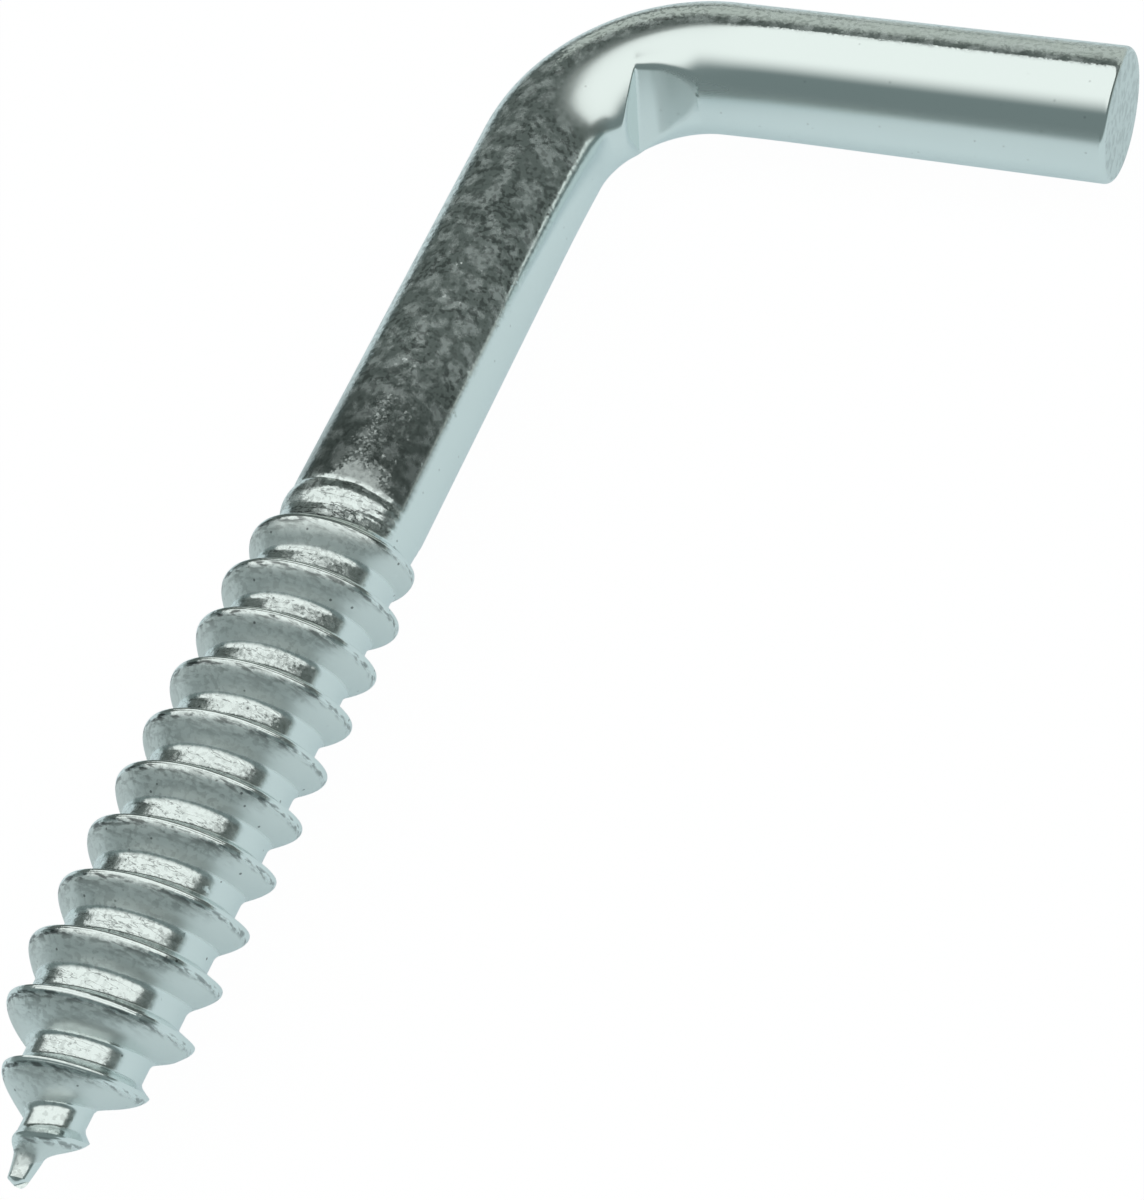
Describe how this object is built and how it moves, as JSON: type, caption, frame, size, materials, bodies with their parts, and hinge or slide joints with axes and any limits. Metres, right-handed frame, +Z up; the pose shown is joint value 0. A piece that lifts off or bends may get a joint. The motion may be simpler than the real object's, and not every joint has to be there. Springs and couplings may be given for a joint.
{
  "type": "l-hook screw",
  "caption": "L-shaped hook bent from one round zinc-plated wire, with a pointed coarse right-hand wood-screw thread on its long leg and a plain arm to hang things on.",
  "frame": {"origin": "on the screw's axis, where the thread starts below the plain shank", "axes": "+Y along the screw from its tip to the bend, +X along the arm to its free end, +Z up out of the hook's plane as it lies on its side"},
  "size_m": [0.0243, 0.0515, 0.0062],
  "materials": {
    "zinc_plate": "bright zinc plate over steel, fine crystal grain, dark specks in the thread"
  },
  "bodies": {
    "root": {"hook_screw": "zinc_plate"}
  },
  "joints": []
}
